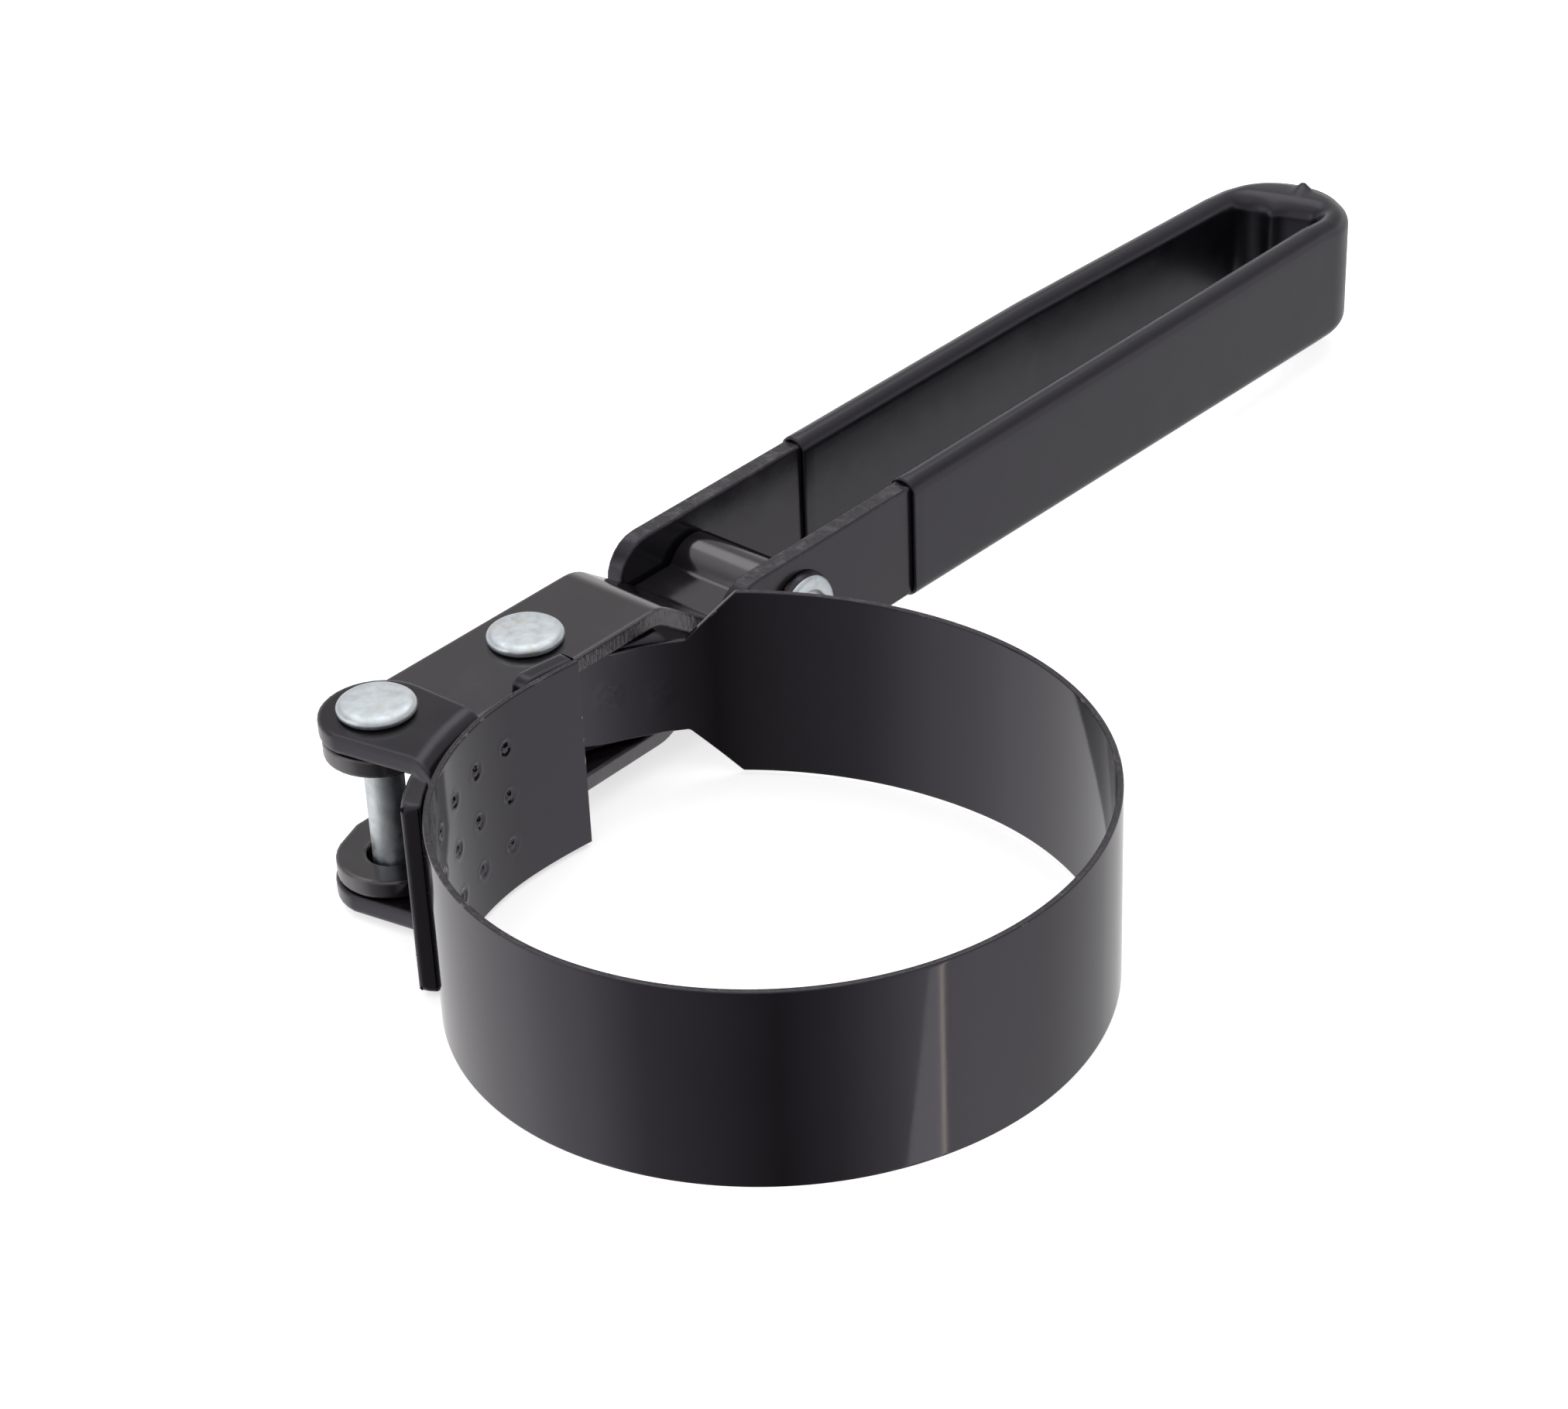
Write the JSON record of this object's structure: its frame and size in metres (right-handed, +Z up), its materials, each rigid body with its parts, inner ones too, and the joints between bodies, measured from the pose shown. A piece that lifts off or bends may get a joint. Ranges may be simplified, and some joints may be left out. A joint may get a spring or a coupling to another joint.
{
  "type": "oil filter wrench",
  "caption": "Band-type filter wrench: a flexible steel strap loop drawn tight by a folded lever bracket, with a swivelling steel loop handle and a dipped vinyl grip.",
  "frame": {"origin": "centre of the bounding box in plan, at the level of the lowest rivet tail", "axes": "+X along the handle towards its looped end, +Y from the strap loop towards the lever bracket, +Z up along the axis of the strap loop"},
  "size_m": [0.2712, 0.123, 0.0344],
  "materials": {
    "black_paint": "gloss black paint over steel",
    "zinc_plate": "zinc plated, lightly mottled",
    "dipped_vinyl": "satin dipped vinyl"
  },
  "bodies": {
    "clip_end": {"strap_clip_end": "black_paint", "outer_clip": "black_paint", "clip_rivet": "zinc_plate"},
    "strap_front": {"strap_front": "black_paint"},
    "tongue": {"strap_tongue": "black_paint", "inner_clip": "black_paint"},
    "lever": {"swivel_bracket": "black_paint", "tongue_rivet": "zinc_plate"},
    "handle": {"handle_frame": "black_paint", "handle_grip": "dipped_vinyl", "swivel_rivet": "zinc_plate"}
  },
  "joints": [
    {"name": "lever_pivot", "type": "hinge", "parent": "clip_end", "child": "lever", "pos_m": [-0.10567, 0.04627, 0.017], "axis": [0, 0, 1], "range_deg": [-1.5, 15]},
    {"name": "handle_swivel", "type": "hinge", "parent": "lever", "child": "handle", "pos_m": [-0.02727, 0.04627, 0.017], "axis": [0, 1, 0], "range_deg": [-90, 90]},
    {"name": "strap_flex_left", "type": "hinge", "parent": "clip_end", "child": "strap_front", "pos_m": [-0.1349, -0.0167, 0.017], "axis": [0, 0, 1], "range_deg": [-0.7, 4.9]},
    {"name": "strap_flex_right", "type": "hinge", "parent": "strap_front", "child": "tongue", "pos_m": [-0.03618, -0.01066, 0.017], "axis": [0, 0, 1], "range_deg": [-4.9, 0.7]}
  ],
  "couplings": [
    {"joint": "strap_flex_left", "follows": "lever_pivot", "ratio": 0.3195},
    {"joint": "strap_flex_right", "follows": "lever_pivot", "ratio": -0.3195}
  ]
}
